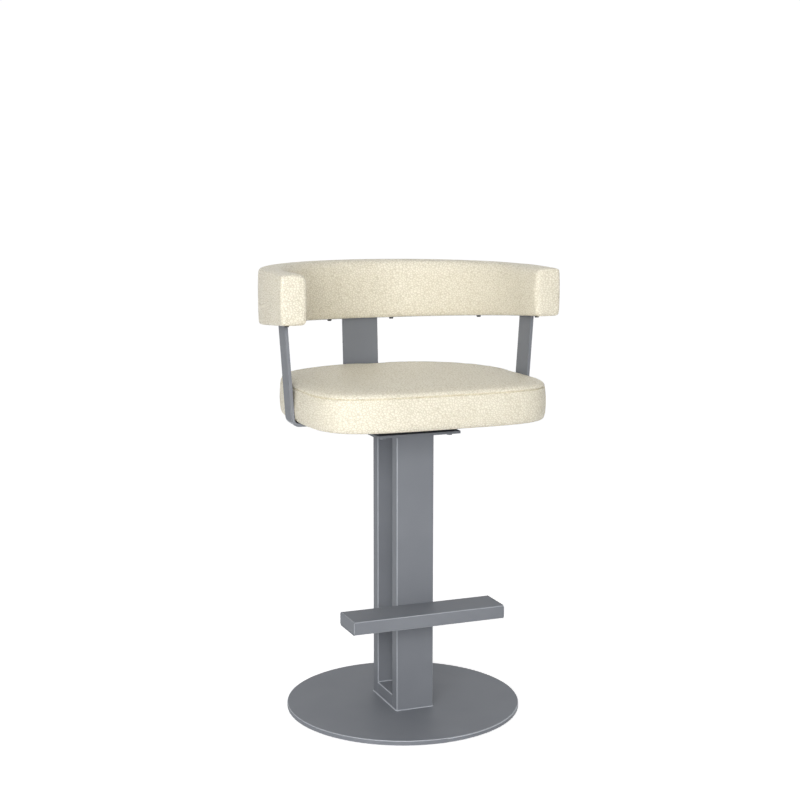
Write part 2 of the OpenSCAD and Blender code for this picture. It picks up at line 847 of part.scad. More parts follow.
module seat_board() {
    color(wood)
        difference() {
            translate([0, 0, board_z]) linear_extrude(height = board_t) polygon(seat_outline(board_inset));
            translate([0, 0, board_z - cut]) {
                cylinder(r = pin_clear_r, h = board_t + 2 * cut, $fn = small_fn);
                at_corners(seat_bolt_pitch)
                    cylinder(r = tee_barrel_r + run_fit, h = board_t + 2 * cut, $fn = small_fn);
            }
            translate([0, 0, board_top - tee_flange_t])
                at_corners(seat_bolt_pitch)
                    cylinder(r = tee_flange_r + run_fit, h = tee_flange_t + cut, $fn = small_fn);
        }
}

module dust_cover() {
    color(black_cloth)
        translate([0, 0, frame_top])
            linear_extrude(height = dust_t)
                difference() {
                    polygon(seat_outline(board_inset + cover_hem));
                    circle(r = pin_clear_r, $fn = small_fn);
                    for (x = [-1, 1], y = [-1, 1])
                        translate([x * seat_bolt_pitch / 2, y * seat_bolt_pitch / 2])
                            circle(r = seat_bolt_d / 2 + hole_fit, $fn = small_fn);
                }
}

module seat_cushion() {
    rows = len(cushion_rows);
    points = [for (row = cushion_rows, p = seat_outline(row[0])) [p[0], p[1], cushion_z + row[1]]];
    color(fabric)
        difference() {
            polyhedron(points, tube_faces(rows, seat_points));
            translate([0, 0, board_z - cut])
                linear_extrude(height = board_t + soft_gap + cut)
                    polygon(seat_outline(board_inset - soft_gap));
        }
}

// Backrest

// U-shaped plan, open to the front: an arc with two straight arms
module u_plan(r_in, r_out, arm) {
    translate([0, band_y])
        difference() {
            intersection() {
                union() {
                    circle(r = r_out, $fn = round_fn);
                    translate([-r_out, -arm]) square([2 * r_out, arm]);
                }
                translate([-r_out, -arm]) square([2 * r_out, arm + r_out]);
            }
            circle(r = r_in, $fn = round_fn);
            translate([-r_in, -arm - cut]) square([2 * r_in, arm + cut]);
        }
}

// The U-shaped plan raised between two straight slopes, given by their heights at the front and rear
module u_wall(r_in, r_out, low_front, low_rear, high_front, high_rear) {
    front = band_end_y - cut;
    intersection() {
        translate([0, 0, low_rear - hoop_w])
            linear_extrude(height = band_h + 2 * hoop_w) u_plan(r_in, r_out, hoop_arm);
        rotate([90, 0, 90])
            linear_extrude(height = 2 * band_r, center = true)
                polygon([[front, low_front], [band_rear_y, low_rear],
                         [band_rear_y, high_rear], [front, high_front]]);
    }
}

// Children stand square to the hoop's underside at each screw
module at_back_screws() {
    for (p = screw_places)
        translate([p[0], p[1], hoop_plane(p[1])]) rotate([-bottom_slope, 0, 0]) children();
}

module back_screw_hole(spare) {
    at_back_screws()
        translate([0, 0, -2 * cut])
            cylinder(r = back_screw_d / 2 + spare, h = back_screw_l + 3 * cut, $fn = small_fn);
}

module backrest_hoop() {
    front = band_end_y - cut;
    color(metal)
        difference() {
            u_wall(band_mid - hoop_w / 2, band_mid + hoop_w / 2,
                   hoop_plane(front), hoop_plane(band_rear_y),
                   hoop_plane(front) + hoop_t, hoop_plane(band_rear_y) + hoop_t);
            back_screw_hole(hole_fit);
        }
}

module backrest_core() {
    front = band_end_y - cut;
    color(wood)
        difference() {
            u_wall(band_mid - core_t / 2, band_mid + core_t / 2,
                   hoop_plane(front) + hoop_t, hoop_plane(band_rear_y) + hoop_t,
                   pad_top(front) - core_cover, pad_top(band_rear_y) - core_cover);
            back_screw_hole(run_fit);
        }
}

module backrest_screws() {
    color(black_steel)
        at_back_screws() {
            translate([0, 0, -back_head_h])
                cylinder(d1 = back_head_d * pan_taper, d2 = back_head_d, h = back_head_h, $fn = small_fn);
            cylinder(d = back_screw_d, h = back_screw_l, $fn = small_fn);
        }
}

// Pocket in the pad, from its floor heights to its roof heights at the inner and outer side of each station
module pocket(half, lift, roofs) {
    line = stations(pocket_arm, pocket_arm_steps);
    polyhedron(
        [for (i = [0:len(line) - 1], p = [[half, 0], [half, 1], [-half, 1], [-half, 0]])
            let (xy = station_point(line[i], p[0]))
            [xy[0], xy[1], p[1] == 0 ? pad_bottom(xy[1]) + lift : roofs(xy[1])]],
        tube_faces(len(line), 4)
    );
}

module backrest_pad() {
    line = stations(arm_l - end_inner_r, band_arm_steps);
    rings = concat(
        [for (a = band_end_angles) end_ring(-1, a)],
        [for (st = line) pad_ring(st)],
        [for (i = [len(band_end_angles) - 1:-1:0]) end_ring(1, band_end_angles[i])]
    );
    color(fabric)
        difference() {
            polyhedron([for (r = rings) each r], tube_faces(len(rings), len(rings[0])));
            pocket(hoop_w / 2 + pocket_spare, -hoop_w, function (y) hoop_roof(y));
            pocket(core_t / 2 + pocket_spare, 0, function (y) core_roof(y));
        }
}

base_plate();
base_pad();
base_screws();
anchor_block();
front_post();
rear_post();
bottom_rail();
top_plate();
footrest_bar();
footrest_end_plates();
footrest_bolts();
footrest_nuts();
plate_bolts();
plate_nuts();
swivel_lower_plate();
swivel_pin();
pin_washer();
pin_nut();
ball_cage();
swivel_balls();
swivel_upper_plate();
swivel_bush();
seat_bolts();
seat_tee_nuts();
seat_frame_plate();
left_strut();
right_strut();
back_plate();
seat_board();
dust_cover();
seat_cushion();
backrest_hoop();
backrest_core();
backrest_screws();
backrest_pad();
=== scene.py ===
"""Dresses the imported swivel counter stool: cream upholstery, satin grey steel, welds, plain studio."""

import logging
import math
from dataclasses import dataclass, field
from enum import Enum
from typing import Any, Callable, Iterable, Sequence

import bmesh
import bpy
from mathutils import Matrix, Vector
from mathutils.noise import noise


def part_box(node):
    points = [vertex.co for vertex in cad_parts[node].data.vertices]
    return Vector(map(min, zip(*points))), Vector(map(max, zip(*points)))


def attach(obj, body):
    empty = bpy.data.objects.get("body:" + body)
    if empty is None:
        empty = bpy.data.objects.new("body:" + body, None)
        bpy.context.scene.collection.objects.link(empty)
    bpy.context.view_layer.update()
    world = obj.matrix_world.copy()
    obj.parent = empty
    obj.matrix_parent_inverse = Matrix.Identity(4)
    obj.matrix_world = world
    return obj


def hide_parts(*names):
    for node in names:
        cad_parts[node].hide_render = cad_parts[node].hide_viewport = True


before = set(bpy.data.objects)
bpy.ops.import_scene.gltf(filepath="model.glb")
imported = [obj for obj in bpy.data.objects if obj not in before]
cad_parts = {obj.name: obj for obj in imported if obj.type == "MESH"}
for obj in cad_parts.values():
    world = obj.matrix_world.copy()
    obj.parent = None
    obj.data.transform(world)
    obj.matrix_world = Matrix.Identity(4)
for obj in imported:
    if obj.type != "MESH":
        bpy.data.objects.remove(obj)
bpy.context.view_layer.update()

log = logging.getLogger("stool")

Point = tuple[float, float, float]
Colour = tuple[float, float, float]
Shape = tuple[list[Any], list[list[int]]]


def turns(*degrees: float) -> list[float]:
    """Returns angles in radians."""
    return [math.radians(degree) for degree in degrees]


def bell(gap: float, width: float, middle: float = 0.0) -> float:
    """Returns 1 at the middle of a bell curve, falling off over its width."""
    return math.exp(-(((gap - middle) / width) ** 2))


def add_object(name: str, data: Any) -> bpy.types.Object:
    """Makes an object and links it to the scene."""
    made = bpy.data.objects.new(name, data)
    bpy.context.scene.collection.objects.link(made)
    return made


# Shader trees


def math_node(operation: str, swapped: bool = False) -> Callable[..., "Value"]:
    """Returns a method that adds one Math node and gives its result as a Value."""

    def method(value: "Value", other: Any = 0.0) -> "Value":
        pair = (other, value) if swapped else (value, other)
        node = value.tree.add("ShaderNodeMath", {"operation": operation}, dict(enumerate(pair)))
        return Value(value.tree, node.outputs[0])

    return method


class Value:
    """A number socket of a shader tree that takes part in sums."""

    def __init__(self, tree: "ShaderTree", socket: bpy.types.NodeSocket) -> None:
        """Wraps one output socket of a tree."""
        self.tree = tree
        self.socket = socket

    __add__ = __radd__ = math_node("ADD")
    __sub__ = math_node("SUBTRACT")
    __rsub__ = math_node("SUBTRACT", swapped=True)
    __mul__ = __rmul__ = math_node("MULTIPLY")
    __pow__ = math_node("POWER")
    __abs__ = math_node("ABSOLUTE")
    most = math_node("MAXIMUM")

    def above(self, low: float, high: float) -> "Value":
        """Returns 0 below low, 1 above high, and a smooth rise between them."""
        node = self.tree.add(
            "ShaderNodeMapRange",
            {"interpolation_type": "SMOOTHSTEP"},
            {"Value": self, "From Min": low, "From Max": high},
        )
        return Value(self.tree, node.outputs["Result"])


class ShaderTree:
    """The node tree of one material or world, with a short way to add each node."""

    def __init__(self, owner: Any) -> None:
        """Empties the tree.

        Args:
            owner: The world, or the name of a new material.
        """
        self.owner = bpy.data.materials.new(owner) if isinstance(owner, str) else owner
        self.owner.use_nodes = True
        self.nodes = self.owner.node_tree.nodes
        self.links = self.owner.node_tree.links
        self.nodes.clear()

    def add(
        self, kind: str, settings: dict[str, Any] | None = None, inputs: dict[Any, Any] | None = None
    ) -> bpy.types.Node:
        """Adds a node, sets it up and feeds its sockets.

        Args:
            kind: The node's type.
            settings: The node's own properties, set first.
            inputs: Socket name or number, with a value, a Value or an output socket for each.

        Returns:
            The new node.
        """
        node = self.nodes.new(kind)
        for key, setting in (settings or {}).items():
            setattr(node, key, setting)
        for key, given in (inputs or {}).items():
            if isinstance(given, Value):
                given = given.socket
            if isinstance(given, bpy.types.NodeSocket):
                self.links.new(given, node.inputs[key])
            elif isinstance(given, tuple) and node.inputs[key].type == "RGBA":
                node.inputs[key].default_value = (*given, 1.0)
            else:
                node.inputs[key].default_value = given
        return node

    def place(self, scale: Point = (1.0, 1.0, 1.0)) -> bpy.types.NodeSocket:
        """Returns the object's own coordinates in metres, scaled along each axis."""
        coords = self.add("ShaderNodeTexCoord").outputs["Object"]
        return self.add("ShaderNodeMapping", None, {"Vector": coords, "Scale": scale}).outputs["Vector"]

    def axes(self, kind: str) -> list[Value]:
        """Returns the x, y and z of one kind of coordinates."""
        whole = self.add("ShaderNodeTexCoord").outputs[kind]
        parts = self.add("ShaderNodeSeparateXYZ", None, {"Vector": whole}).outputs
        return [Value(self, parts[axis]) for axis in "XYZ"]

    def edges(self, low: float, high: float) -> Value:
        """Returns 1 where a boxy piece's surface turns over an edge, and 0 on its faces."""
        x, y, z = (abs(part) for part in self.axes("Normal"))
        return (1.0 - x.most(y).most(z)).above(low, high)

    def rim(self, low: float, high: float) -> Value:
        """Returns 1 where a flat round piece's surface turns over its rim, and 0 elsewhere."""
        x, y, z = self.axes("Normal")
        return (1.0 - abs(z).most((x * x + y * y) ** 0.5)).above(low, high)

    def cloud(
        self, size: float, detail: float = 3.0, rough: float = 0.5, where: Any = None, bend: float = 0.0
    ) -> Value:
        """Adds soft noise.

        Args:
            size: The width of one blot, in metres.
            detail: How many finer layers it has.
            rough: The share of those layers.
            where: Coordinates to use, or None for the object's own.
            bend: How far the blots are pulled about.

        Returns:
            The noise, from 0 to 1.
        """
        inputs = {
            "Vector": where if where is not None else self.place(),
            "Scale": 1.0 / size,
            "Detail": detail,
            "Roughness": rough,
            "Distortion": bend,
        }
        return Value(self, self.add("ShaderNodeTexNoise", None, inputs).outputs["Fac"])

    def cells(self, size: float, smooth: float, where: Any = None, feature: str = "SMOOTH_F1") -> Value:
        """Adds a pattern of cells.

        Args:
            size: The width of one cell, in metres.
            smooth: How far the cells melt into each other.
            where: Coordinates to use, or None for the object's own.
            feature: Which distance the texture gives.

        Returns:
            The distance to the nearest cell's middle or edge, in cells.
        """
        inputs = {"Vector": where if where is not None else self.place(), "Scale": 1.0 / size}
        if feature == "SMOOTH_F1":
            inputs["Smoothness"] = smooth
        node = self.add("ShaderNodeTexVoronoi", {"feature": feature}, inputs)
        return Value(self, node.outputs["Distance"])

    def blend(self, share: Any, first: Any, second: Any) -> bpy.types.NodeSocket:
        """Returns a colour between two, by a share from 0 to 1."""
        inputs = {"Factor": share, 6: first, 7: second}
        return self.add("ShaderNodeMix", {"data_type": "RGBA"}, inputs).outputs[2]

    def bump(self, height: Value, depth: float, strength: float) -> bpy.types.NodeSocket:
        """Returns a normal bent by a height, counted in steps of depth metres, at some strength."""
        inputs = {"Height": height, "Distance": depth, "Strength": strength}
        return self.add("ShaderNodeBump", None, inputs).outputs["Normal"]

    def shade(self, **inputs: Any) -> bpy.types.Material:
        """Ends the tree with a main shader, whose sockets are named with underscores for spaces."""
        named = {key.replace("_", " "): given for key, given in inputs.items()}
        shader = self.add("ShaderNodeBsdfPrincipled", None, named)
        self.add("ShaderNodeOutputMaterial", None, {"Surface": shader.outputs["BSDF"]})
        return self.owner


# Finishes


@dataclass(frozen=True)
class SatinPaint:
    """Satin grey coat: fine orange peel, faint clouds, and a painted highlight that lightens every edge."""

    name: str = "satin_grey_paint"
    colour: Colour = (0.218, 0.23, 0.254)
    pale: Colour = (0.24, 0.253, 0.277)
    # Painted highlight: the pale colour laid along edges in place of the lamps' gleam on rounded edges.
    paler_tone: Colour = (0.6, 0.63, 0.68)
    edge_highlight_strength: float = 0.6
    round_plate: bool = False
    clouds: float = 0.11
    specks: float = 0.0009
    highlight_mottle: float = 0.004
    peel: float = 0.0011
    peel_depth: float = 0.00006
    bend: tuple[float, float] = (0.03, 0.2)

    def material(self) -> bpy.types.Material:
        """Builds the material."""
        tree = ShaderTree(self.name)
        drift = tree.cloud(self.clouds, 2.0, 0.45)
        speck = tree.cloud(self.specks, 1.0)
        colour = tree.blend(drift.above(0.3, 0.7) * 0.75 + speck * 0.25, self.colour, self.pale)
        peel = tree.cloud(self.peel, 2.0, 0.4)
        # Painted highlight: edges (or the plate's rim) are lightened in the base colour, mottled by noise,
        # whatever the light.
        turn = (tree.rim if self.round_plate else tree.edges)(*self.bend)
        painted_edge_highlight = turn * (0.75 + tree.cloud(self.highlight_mottle, 3.0, 0.6) * 0.5) * self.edge_highlight_strength
        return tree.shade(
            Base_Color=tree.blend(painted_edge_highlight, colour, self.paler_tone),
            Roughness=0.5 + drift * 0.08 + peel * 0.05 - painted_edge_highlight * 0.1,
            Metallic=0.15,
            Specular_IOR_Level=0.15,
            Normal=tree.bump(peel, self.peel_depth, 0.5),
        )


@dataclass(frozen=True)
class BrightSteel:
    """Zinc-plated steel with fine turning marks and a slightly yellow bloom."""

    name: str = "bright_plated_steel"
    colour: Colour = (0.58, 0.59, 0.6)
    bloom: Colour = (0.5, 0.49, 0.44)
    mark: float = 0.0006
    blot: float = 0.006
    depth: float = 0.00003

    def material(self) -> bpy.types.Material:
        """Builds the material."""
        tree = ShaderTree(self.name)
        marks = tree.cloud(self.mark, 4.0, 0.6, tree.place((1.0, 1.0, 9.0)))
        bloom = tree.cloud(self.blot)
        return tree.shade(
            Base_Color=tree.blend(bloom.above(0.45, 0.75), self.colour, self.bloom),
            Roughness=0.24 + marks * 0.18,
            Metallic=1.0,
            Normal=tree.bump(marks, self.depth, 0.5),
        )


@dataclass(frozen=True)
class BlackSteel:
    """Black phosphated steel: matt, a little grainy, greyer where it is rubbed."""

    name: str = "black_phosphate_steel"
    colour: Colour = (0.02, 0.02, 0.022)
    paler_tone: Colour = (0.055, 0.056, 0.06)
    grain: float = 0.0007
    patch: float = 0.018
    depth: float = 0.00005

    def material(self) -> bpy.types.Material:
        """Builds the material."""
        tree = ShaderTree(self.name)
        grain = tree.cloud(self.grain, 3.0, 0.6)
        rub = tree.cloud(self.patch).above(0.52, 0.72)
        return tree.shade(
            Base_Color=tree.blend(rub * 0.6 + grain * 0.2, self.colour, self.paler_tone),
            Roughness=0.5 + grain * 0.2 - rub * 0.1,
            Metallic=0.4,
            Normal=tree.bump(grain, self.depth, 0.6),
        )


@dataclass(frozen=True)
class MouldedPlastic:
    """Moulded plastic or rubber with a fine matt skin."""

    name: str
    colour: Colour
    dusty: Colour
    roughness: float
    skin: float = 0.0006
    patch: float = 0.02
    depth: float = 0.00005

    def material(self) -> bpy.types.Material:
        """Builds the material."""
        tree = ShaderTree(self.name)
        skin = tree.cloud(self.skin, 3.0, 0.55)
        dust = tree.cloud(self.patch).above(0.4, 0.8)
        return tree.shade(
            Base_Color=tree.blend(dust * 0.5, self.colour, self.dusty),
            Roughness=self.roughness + skin * 0.12,
            Normal=tree.bump(skin, self.depth, 0.6),
        )


@dataclass(frozen=True)
class Plywood:
    """Raw plywood: long grain on the faces and thin plies round the edges."""

    name: str = "raw_plywood"
    light: Colour = (0.6, 0.44, 0.27)
    dark: Colour = (0.42, 0.28, 0.15)
    ply: float = 0.0032
    fibre: float = 0.004
    depth: float = 0.00015

    def material(self) -> bpy.types.Material:
        """Builds the material."""
        tree = ShaderTree(self.name)
        fibres = tree.cloud(self.fibre, 4.0, 0.6, tree.place((1.0, 0.06, 1.0)), 0.6)
        plies = tree.add(
            "ShaderNodeTexWave",
            {"wave_type": "BANDS", "bands_direction": "Z"},
            {"Vector": tree.place(), "Scale": 0.05 / self.ply, "Distortion": 0.8, "Detail": 2.0},
        )
        bands = Value(tree, plies.outputs["Fac"])
        return tree.shade(
            Base_Color=tree.blend(fibres * 0.6 + bands * 0.4, self.light, self.dark),
            Roughness=0.62 + fibres * 0.15,
            Normal=tree.bump(fibres, self.depth, 0.5),
        )


@dataclass(frozen=True)
class DustCloth:
    """Thin black non-woven cloth with bonded fibres."""

    name: str = "black_dust_cloth"
    colour: Colour = (0.012, 0.012, 0.013)
    fibre: Colour = (0.045, 0.045, 0.047)
    strand: float = 0.0012
    bond: float = 0.0022
    depth: float = 0.0002

    def material(self) -> bpy.types.Material:
        """Builds the material."""
        tree = ShaderTree(self.name)
        fibres = tree.cloud(self.strand, 5.0, 0.7, tree.place((1.0, 0.35, 1.0)), 1.5)
        dots = tree.cells(self.bond, 0.2)
        return tree.shade(
            Base_Color=tree.blend(fibres.above(0.35, 0.7), self.colour, self.fibre),
            Roughness=0.85,
            Specular_IOR_Level=0.2,
            Normal=tree.bump(fibres * 0.6 + dots * 0.4, self.depth, 0.8),
        )


@dataclass(frozen=True)
class PebbledCover:
    """Cream upholstery with a small pebble grain, with painted shade darkening its creases below the paler
    crests.
    """

    name: str = "cream_pebbled_cover"
    crest: Colour = (0.97, 0.915, 0.765)
    # Colour of the painted shade in the grain's creases.
    crease_shade: Colour = (0.62, 0.555, 0.4)
    pebble: float = 0.0054
    slope: float = 0.34
    sway: float = 0.0032
    sway_size: float = 0.007
    fine: float = 0.0012
    patch: float = 0.05
    depth: float = 0.0006

    def material(self) -> bpy.types.Material:
        """Builds the material."""
        tree = ShaderTree(self.name)
        flat = tree.place((1.0, 1.0, 1.25))
        inputs = {"Vector": flat, "Scale": 1.0 / self.sway_size, "Detail": 2.0}
        sway = tree.add("ShaderNodeTexNoise", None, inputs)
        spread = tree.add(
            "ShaderNodeVectorMath",
            {"operation": "MULTIPLY_ADD"},
            {0: sway.outputs["Color"], 1: (self.sway,) * 3, 2: flat},
        ).outputs["Vector"]
        rise = tree.cells(self.pebble, 0.0, spread, "DISTANCE_TO_EDGE").above(0.0, self.slope)
        dome = rise * (2.0 - rise)
        fine = tree.cloud(self.fine, 2.0, 0.6)
        drift = tree.cloud(self.patch, 2.0)
        # Painted shade: the creases are darkened in the base colour.
        crease_shade_mask = (1.0 - rise) ** 4.0
        return tree.shade(
            Base_Color=tree.blend(crease_shade_mask * 0.62 + drift.above(0.3, 0.8) * 0.05, self.crest, self.crease_shade),
            Roughness=0.36 + crease_shade_mask * 0.3,
            Specular_IOR_Level=0.36,
            Normal=tree.bump(dome + fine * 0.15, self.depth, 0.8),
        )


class Slot(Enum):
    """The material slots of the record, and the base plate's own kind of paint."""

    PAINT = "painted_steel"
    DISC = "painted_steel_disc"
    BRIGHT = "bright_steel"
    BLACK = "black_steel"
    NYLON = "nylon"
    RUBBER = "rubber"
    PLYWOOD = "plywood"
    DUST = "dust_cloth"
    SEAT = "seat_cover"
    BACK = "backrest_cover"


@dataclass
class Wardrobe:
    """Every finish of the stool, made once and handed out by slot."""

    made: dict[Slot, bpy.types.Material] = field(init=False)

    def __post_init__(self) -> None:
        """Builds each material."""
        cover = PebbledCover().material()
        nylon = MouldedPlastic("natural_nylon", (0.66, 0.65, 0.6), (0.5, 0.48, 0.42), 0.42)
        rubber = MouldedPlastic("black_rubber", (0.016, 0.016, 0.017), (0.06, 0.058, 0.055), 0.75)
        self.made = {
            Slot.PAINT: SatinPaint().material(),
            # The base plate's rim takes a stronger painted highlight.
            Slot.DISC: SatinPaint("satin_grey_paint_disc", edge_highlight_strength=0.9, round_plate=True).material(),
            Slot.BRIGHT: BrightSteel().material(),
            Slot.BLACK: BlackSteel().material(),
            Slot.NYLON: nylon.material(),
            Slot.RUBBER: rubber.material(),
            Slot.PLYWOOD: Plywood().material(),
            Slot.DUST: DustCloth().material(),
            Slot.SEAT: cover,
            Slot.BACK: cover,
        }

    def dress_nodes(self, names: Iterable[str], slot: Slot) -> None:
        """Gives CAD nodes the finish of a slot."""
        finish = self.made[slot]
        for name in names:
            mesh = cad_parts[name].data
            mesh.materials.clear()
            mesh.materials.append(finish)
            log.info("node %s wears %s", name, finish.name)

    def dress_piece(self, piece: bpy.types.Object, slot: Slot) -> None:
        """Gives a new piece the finish of a slot."""
        piece.data.materials.append(self.made[slot])


# Mesh helpers


class Form:
    """Builds plain meshes from rings, and merges points that all but meet."""

    MERGE = 1e-6

    @staticmethod
    def piece(name: str, points: Sequence[Any], faces: Sequence[Sequence[int]]) -> bpy.types.Object:
        """Makes a smooth object of points and faces, with its normals outwards."""
        mesh = bpy.data.meshes.new(name)
        mesh.from_pydata([tuple(p) for p in points], [], [tuple(f) for f in faces])
        build = bmesh.new()
        build.from_mesh(mesh)
        bmesh.ops.remove_doubles(build, verts=build.verts, dist=Form.MERGE)
        bmesh.ops.recalc_face_normals(build, faces=build.faces)
        build.to_mesh(mesh)
        build.free()
        mesh.polygons.foreach_set("use_smooth", [True] * len(mesh.polygons))
        return add_object(name, mesh)

    @staticmethod
    def tube(rings: Sequence[Sequence[Any]], closed: bool = False) -> Shape:
        """Joins rings of equal length, the last to the first if closed, or with a face at each end."""
        count = len(rings[0])
        points = [p for ring in rings for p in ring]
        faces = []
        for i in range(len(rings) if closed else len(rings) - 1):
            a, b = i * count, ((i + 1) % len(rings)) * count
            faces += [[a + j, a + (j + 1) % count, b + (j + 1) % count, b + j] for j in range(count)]
        if not closed:
            faces.append(list(range(count - 1, -1, -1)))
            faces.append([(len(rings) - 1) * count + j for j in range(count)])
        return points, faces

    @staticmethod
    def join(parts: Sequence[Shape]) -> Shape:
        """Puts several sets of points and faces into one."""
        points: list[Any] = []
        faces: list[list[int]] = []
        for more, corners in parts:
            faces += [[len(points) + k for k in face] for face in corners]
            points += more
        return points, faces


class SoftPiece:
    """Puffs a closed form up the way stuffing does, and cuts it afterwards."""

    STRETCH = 25.0
    BEND = 2.0
    QUALITY = 5
    KEEP = 0.4

    def __init__(self, piece: bpy.types.Object, voxel: float, cap: float) -> None:
        """Takes a closed form, the size of the cloth's cells and how far the stuffing may push."""
        self.piece = piece
        self.voxel = voxel
        self.cap = cap

    def _apply(self, kind: str, **settings: Any) -> None:
        """Adds a modifier and makes what it shows the piece's own mesh."""
        modifier = self.piece.modifiers.new(kind.lower(), kind)
        for key, setting in settings.items():
            setattr(modifier, key, setting)
        graph = bpy.context.evaluated_depsgraph_get()
        shown = bpy.data.meshes.new_from_object(self.piece.evaluated_get(graph))
        self.piece.modifiers.clear()
        self.piece.data = shown
        shown.polygons.foreach_set("use_smooth", [True] * len(shown.polygons))

    def remesh(self) -> None:
        """Turns the form into an even cloth of small quads that still lies on the form."""
        form = add_object("form", self.piece.data.copy())
        self._apply("REMESH", mode="VOXEL", voxel_size=self.voxel, adaptivity=0.0, use_smooth_shade=True)
        self._apply("SMOOTH", factor=0.5, iterations=3)
        self._apply("SHRINKWRAP", target=form, wrap_method="NEAREST_SURFACEPOINT")
        bpy.data.objects.remove(form)

    def puff(self, held: Any, pressure: float = 4.0, steps: int = 20) -> None:
        """Blows the cloth up, holding some of it still.

        Args:
            held: Tells from a vertex's place whether it is held.
            pressure: The push of the stuffing.
            steps: How many frames the cloth moves for.
        """
        rest = [v.co.copy() for v in self.piece.data.vertices]
        outward = [v.normal.copy() for v in self.piece.data.vertices]
        still = [i for i, co in enumerate(rest) if held(co)]
        self.piece.vertex_groups.new(name="held").add(still, 1.0, "REPLACE")
        cloth = self.piece.modifiers.new("cloth", "CLOTH")
        cover = cloth.settings
        cover.vertex_group_mass = "held"
        cover.use_pressure = True
        cover.uniform_pressure_force = pressure
        cover.effector_weights.gravity = 0.0
        cover.tension_stiffness = cover.compression_stiffness = self.STRETCH
        cover.bending_stiffness = self.BEND
        cover.quality = self.QUALITY
        cloth.collision_settings.use_self_collision = False
        cloth.point_cache.frame_start = 1
        cloth.point_cache.frame_end = steps
        scene = bpy.context.scene
        for step in range(1, steps + 1):
            scene.frame_set(step)
        graph = bpy.context.evaluated_depsgraph_get()
        moved = [v.co.copy() for v in self.piece.evaluated_get(graph).data.vertices]
        self.piece.modifiers.clear()
        self.piece.vertex_groups.clear()
        swell = [
            self.cap * math.tanh(max(0.0, (end - start).dot(out)) / self.cap)
            for start, end, out in zip(rest, moved, outward)
        ]
        swell = self._even_out(swell, set(still))
        for vertex, start, out, rise in zip(self.piece.data.vertices, rest, outward, swell):
            vertex.co = start + out * rise
        scene.frame_set(1)
        log.info("%s puffed by up to %.1f mm", self.piece.name, max(swell) * 1000)

    def _even_out(self, swell: list[float], still: set[int], rounds: int = 14) -> list[float]:
        """Spreads the swelling over neighbouring points, as taut fabric does, but for those held still."""
        near: list[list[int]] = [[] for _ in swell]
        for edge in self.piece.data.edges:
            a, b = edge.vertices
            near[a].append(b)
            near[b].append(a)
        for _ in range(rounds):
            swell = [
                0.0 if i in still
                else self.KEEP * own + (1 - self.KEEP) * sum(swell[j] for j in near[i]) / len(near[i])
                for i, own in enumerate(swell)
            ]
        return swell

    def refine(self) -> None:
        """Subdivides the cloth once."""
        self._apply("SUBSURF", levels=1, render_levels=1)

    def cut(self, cutter: bpy.types.Object) -> None:
        """Cuts a hollow for what stands inside the piece, and removes the cutter."""
        self._apply("BOOLEAN", operation="DIFFERENCE", solver="EXACT", object=cutter)
        bpy.data.objects.remove(cutter)

    def sharpen(self, angle: float = 50.0) -> None:
        """Keeps edges over an angle crisp."""
        self.piece.data.set_sharp_from_angle(angle=math.radians(angle))


@dataclass
class SeatPlan:
    """Plan outline of the seat, squarer at the front than at the rear."""

    half_width: float = 0.234
    front: float = 0.2165
    rear: float = 0.221
    widest_y: float = -0.01
    front_square: float = 4.7
    rear_square: float = 2.5

    def at(self, turn: float, inset: float = 0.0) -> tuple[float, float]:
        """Returns the outline's point at an angle, drawn in by an inset."""
        c, s = math.cos(turn), math.sin(turn)
        power = 2.0 / (self.front_square if s < 0 else self.rear_square)
        reach = self.front if s < 0 else self.rear
        x = math.copysign(abs(c) ** power, c) * (self.half_width - inset)
        y = math.copysign(abs(s) ** power, s) * (reach - inset)
        return x, self.widest_y + y

    def ring(self, inset: float, z: float, count: int = 176, parts: int = 2000) -> list[Vector]:
        """Returns the outline as evenly spaced points at a height.

        Args:
            inset: How far it is drawn in.
            z: The height.
            count: The number of points.
            parts: The number of parts that the outline is measured in.

        Returns:
            The points.
        """
        fine = [Vector((*self.at(2 * math.pi * i / parts, inset), z)) for i in range(parts)]
        lengths = [0.0]
        for a, b in zip(fine, fine[1:] + fine[:1]):
            lengths.append(lengths[-1] + (b - a).length)
        ring, i = [], 0
        for k in range(count):
            want = lengths[-1] * k / count
            while lengths[i + 1] < want:
                i += 1
            share = (want - lengths[i]) / (lengths[i + 1] - lengths[i])
            ring.append(fine[i].lerp(fine[(i + 1) % parts], share))
        return ring


# Sub-assemblies


